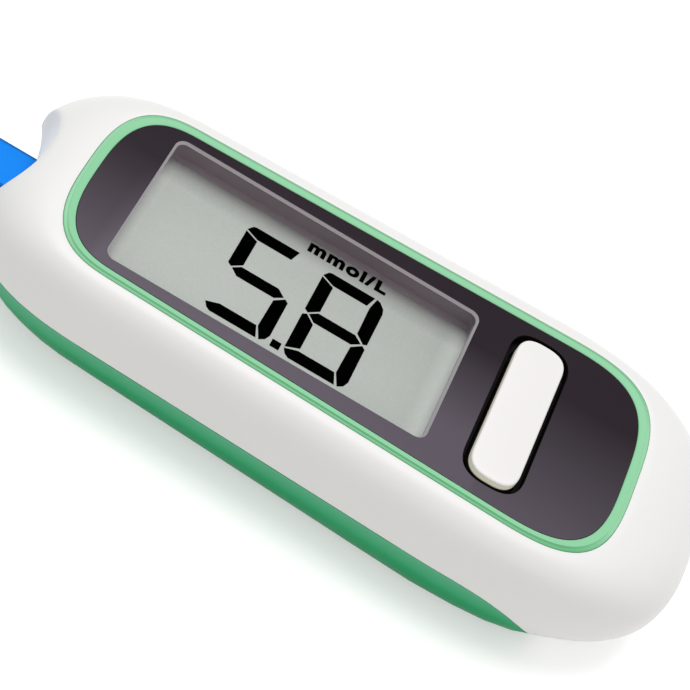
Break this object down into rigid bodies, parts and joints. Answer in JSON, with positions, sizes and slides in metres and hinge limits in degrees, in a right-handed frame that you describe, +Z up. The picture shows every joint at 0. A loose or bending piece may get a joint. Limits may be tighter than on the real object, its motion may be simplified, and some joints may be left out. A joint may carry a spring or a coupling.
{
  "type": "blood glucose meter",
  "caption": "Handheld glucose meter: rounded housing, dark panel with a display window, long push button, and a test strip in the end port.",
  "frame": {"origin": "middle of the part's footprint with the strip in place, on the plane that the base rests on", "axes": "+X along the long axis from the strip port towards the button end, +Y towards the top of the digits, +Z up out of the display"},
  "size_m": [0.1138, 0.0384, 0.0168],
  "materials": {
    "white_plastic": "satin white moulded plastic",
    "green_plastic": "satin green moulded plastic",
    "mint_plastic": "smooth mint trim",
    "dark_panel": "glossy aubergine black panel with a clear window",
    "button_plastic": "satin white key",
    "black_plastic": "black moulded plastic",
    "lcd_glass": "thin display glass",
    "lcd_reflector": "grey-green polariser film",
    "conductive_rubber": "layered conductive rubber",
    "board_laminate": "green glass-fibre board",
    "chip_epoxy": "moulded black epoxy",
    "capacitor_ceramic": "brown ceramic",
    "steel": "nickel-plated steel",
    "gold_spring": "gold-plated spring metal",
    "connector_plastic": "cream connector plastic",
    "strip_blue": "bright blue film",
    "strip_film": "darker blue film edge"
  },
  "bodies": {
    "housing": {"analog_chip": "chip_epoxy", "battery_contact_negative": "gold_spring", "battery_contact_positive": "gold_spring", "bezel_ring": "mint_plastic", "bottom_cover": "green_plastic", "capacitor_1": "capacitor_ceramic", "capacitor_2": "capacitor_ceramic", "capacitor_3": "capacitor_ceramic", "capacitor_4": "capacitor_ceramic", "circuit_board": "board_laminate", "coin_cell_can": "steel", "coin_cell_cap": "steel", "coin_cell_gasket": "black_plastic", "crystal": "steel", "display_lens": "dark_panel", "housing_screw_1": "steel", "housing_screw_2": "steel", "housing_screw_3": "steel", "housing_screw_4": "steel", "lcd_frame": "black_plastic", "lcd_front_glass": "lcd_glass", "lcd_front_polariser": "lcd_reflector", "lcd_rear_glass": "lcd_glass", "lcd_reflector": "lcd_reflector", "memory_chip": "chip_epoxy", "microcontroller": "chip_epoxy", "strip_connector": "connector_plastic", "strip_contact_1": "gold_spring", "strip_contact_2": "gold_spring", "strip_contact_3": "gold_spring", "tact_switch_body": "black_plastic", "top_cover": "white_plastic", "zebra_strip_far": "conductive_rubber", "zebra_strip_near": "conductive_rubber"},
    "button": {"main_button": "button_plastic", "button_carrier": "black_plastic"},
    "switch_plunger": {"tact_switch_plunger": "steel"},
    "battery_door": {"battery_door": "green_plastic"},
    "test_strip": {"test_strip_base": "strip_film", "test_strip_cover": "strip_blue"}
  },
  "joints": [
    {"name": "button_press", "type": "slide", "parent": "housing", "child": "button", "axis": [0, 0, -1], "range_m": [0, 0.0005], "stiffness_N_per_m": 2500, "springref_m": -0.0002},
    {"name": "switch_travel", "type": "slide", "parent": "housing", "child": "switch_plunger", "axis": [0, 0, -1], "range_m": [0, 0.0005]},
    {"name": "battery_door_swing", "type": "hinge", "parent": "housing", "child": "battery_door", "pos_m": [0.0087, 0, 0], "axis": [0, 1, 0], "range_deg": [0, 75]},
    {"name": "strip_pull", "type": "slide", "parent": "housing", "child": "test_strip", "axis": [-1, 0, 0], "range_m": [0, 0.0106]}
  ],
  "couplings": [
    {"joint": "switch_travel", "follows": "button_press", "ratio": 1}
  ]
}
